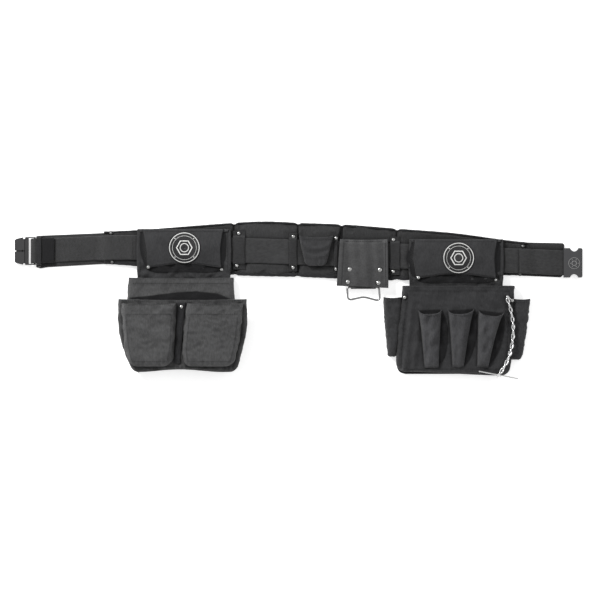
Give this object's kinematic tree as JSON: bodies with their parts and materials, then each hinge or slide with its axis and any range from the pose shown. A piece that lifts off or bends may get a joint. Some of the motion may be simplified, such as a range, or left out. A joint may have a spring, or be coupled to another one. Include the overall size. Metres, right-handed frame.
{
  "type": "tool belt",
  "caption": "Padded carpenter's tool belt with side-release buckle, sliding nail and tool bags, hammer loop, belt pocket and tape chain, laid flat on its back.",
  "frame": {"origin": "middle of the plan, on the surface that the belt's back rests on", "axes": "+X along the belt towards the buckle socket, +Y from the bags up to the belt, +Z out of the belt's front"},
  "size_m": [1.1372, 0.316, 0.0582],
  "materials": {
    "pad_fabric": "matt woven nylon",
    "pad_mesh": "matt open mesh",
    "foam": "matt closed cell foam",
    "webbing": "matt ribbed webbing",
    "loop_pile": "fuzzy loop pile",
    "keeper_webbing": "matt narrow webbing",
    "belt_pocket_fabric": "matt woven nylon",
    "left_bag_fabric": "matt coarse woven nylon",
    "right_bag_fabric": "matt coarse woven nylon",
    "badge_rubber": "moulded, light rim",
    "rivet_steel": "polished",
    "buckle_plastic": "fine moulded texture",
    "holder_leather": "oiled, fine grain",
    "holder_fabric": "matt woven nylon",
    "loop_steel": "satin",
    "chain_steel": "bright plated"
  },
  "bodies": {
    "belt": {"pad_front_right": "pad_fabric", "pad_back_right": "pad_mesh", "foam_inserts_right": "foam", "webbing_right": "webbing", "keeper_pocket": "keeper_webbing", "keeper_right": "keeper_webbing", "belt_pocket": "belt_pocket_fabric", "belt_rivets_right": "rivet_steel"},
    "belt_left": {"pad_front_left": "pad_fabric", "pad_back_left": "pad_mesh", "foam_inserts_left": "foam", "webbing_left": "webbing", "keeper_left": "keeper_webbing", "keeper_centre": "keeper_webbing", "belt_rivets_left": "rivet_steel"},
    "left_tail": {"wing_left": "pad_fabric", "corner_rivet": "rivet_steel", "tail_webbing_left": "webbing", "tail_loop_pile": "loop_pile", "tail_keeper_left": "keeper_webbing", "buckle_plug": "buckle_plastic"},
    "arm_upper": {"plug_arm_upper": "buckle_plastic"},
    "arm_lower": {"plug_arm_lower": "buckle_plastic"},
    "right_tail": {"wing_right": "pad_fabric", "tail_webbing_right": "webbing", "buckle_socket": "buckle_plastic"},
    "left_pouch": {"left_tunnel": "left_bag_fabric", "left_badge": "badge_rubber", "left_tunnel_rivets": "rivet_steel"},
    "left_bag": {"left_bag_back": "left_bag_fabric", "left_main_front": "left_bag_fabric", "left_main_gusset": "left_bag_fabric", "left_second_pocket": "left_bag_fabric", "left_front_pocket_a": "left_bag_fabric", "left_front_pocket_b": "left_bag_fabric", "left_divider_strap": "left_bag_fabric", "left_divider_rivet": "rivet_steel"},
    "right_pouch": {"right_tunnel": "right_bag_fabric", "right_badge": "badge_rubber", "right_tunnel_rivets": "rivet_steel"},
    "right_bag": {"right_bag_back": "right_bag_fabric", "right_main_front": "right_bag_fabric", "right_main_gusset": "right_bag_fabric", "sleeve_left": "right_bag_fabric", "sleeve_middle": "right_bag_fabric", "sleeve_right": "right_bag_fabric", "side_pocket_left": "right_bag_fabric", "side_pocket_right": "right_bag_fabric", "right_bag_rivets": "rivet_steel", "chain_tab": "chain_steel"},
    "hammer_holder": {"hammer_sleeve": "holder_fabric", "hammer_plate": "holder_leather", "hammer_rivets": "rivet_steel", "loop_bracket": "loop_steel"},
    "loop": {"hammer_loop": "loop_steel"},
    "chain_1": {"chain_upper": "chain_steel"},
    "chain_2": {"chain_middle": "chain_steel"},
    "chain_3": {"chain_lower": "chain_steel"},
    "bar": {"tape_bar": "chain_steel"}
  },
  "joints": [
    {"name": "belt_fold", "type": "hinge", "parent": "belt", "child": "belt_left", "pos_m": [-0.0004, 0.097, 0.0148], "axis": [0, 1, 0], "range_deg": [0, 45]},
    {"name": "left_tail_lift", "type": "hinge", "parent": "belt_left", "child": "left_tail", "pos_m": [-0.3904, 0.105, 0.011], "axis": [0, 1, 0], "range_deg": [0, 60]},
    {"name": "right_tail_lift", "type": "hinge", "parent": "belt", "child": "right_tail", "pos_m": [0.4586, 0.078, 0.011], "axis": [0, -1, 0], "range_deg": [0, 60]},
    {"name": "plug_arm_upper_flex", "type": "hinge", "parent": "left_tail", "child": "arm_upper", "pos_m": [-0.5485, 0.11, 0.0072], "axis": [0, 0, 1], "range_deg": [0, 2], "stiffness_Nm_per_rad": 0.4},
    {"name": "plug_arm_lower_flex", "type": "hinge", "parent": "left_tail", "child": "arm_lower", "pos_m": [-0.5485, 0.086, 0.0072], "axis": [0, 0, 1], "range_deg": [-2, 0], "stiffness_Nm_per_rad": 0.4},
    {"name": "left_pouch_slide", "type": "slide", "parent": "belt_left", "child": "left_pouch", "axis": [0.9998, -0.0218, 0], "range_m": [-0.044, 0.002]},
    {"name": "left_bag_swing", "type": "hinge", "parent": "left_pouch", "child": "left_bag", "pos_m": [-0.23, 0.0497, 0.0112], "axis": [-1, 0, 0], "range_deg": [0, 45]},
    {"name": "right_pouch_slide", "type": "slide", "parent": "belt", "child": "right_pouch", "axis": [0.9991, -0.0427, 0], "range_m": [0, 0.022]},
    {"name": "right_bag_swing", "type": "hinge", "parent": "right_pouch", "child": "right_bag", "pos_m": [0.315, 0.0337, 0.0112], "axis": [-1, 0, 0], "range_deg": [0, 45]},
    {"name": "hammer_holder_slide", "type": "slide", "parent": "belt", "child": "hammer_holder", "axis": [0.9993, -0.0373, 0], "range_m": [-0.002, 0.002]},
    {"name": "hammer_loop_swing", "type": "hinge", "parent": "hammer_holder", "child": "loop", "pos_m": [0.1296, 0.026, 0.0132], "axis": [-1, 0, 0], "range_deg": [0, 45]},
    {"name": "chain_upper_swing", "type": "hinge", "parent": "right_bag", "child": "chain_1", "pos_m": [0.41677, 0.00248, 0.0302], "axis": [-0.9494, -0.3141, 0], "range_deg": [0, 40]},
    {"name": "chain_middle_swing", "type": "hinge", "parent": "chain_1", "child": "chain_2", "pos_m": [0.42824, -0.04973, 0.0302], "axis": [-0.9998, -0.02, 0], "range_deg": [0, 40]},
    {"name": "chain_lower_swing", "type": "hinge", "parent": "chain_2", "child": "chain_3", "pos_m": [0.42298, -0.10288, 0.0302], "axis": [-0.9462, 0.3236, 0], "range_deg": [0, 40]},
    {"name": "tape_bar_turn", "type": "hinge", "parent": "chain_3", "child": "bar", "pos_m": [0.39929, -0.14916, 0.0302], "axis": [0, 0, 1], "range_deg": [-4, 15]}
  ],
  "couplings": [
    {"joint": "plug_arm_lower_flex", "follows": "plug_arm_upper_flex", "ratio": -1}
  ]
}
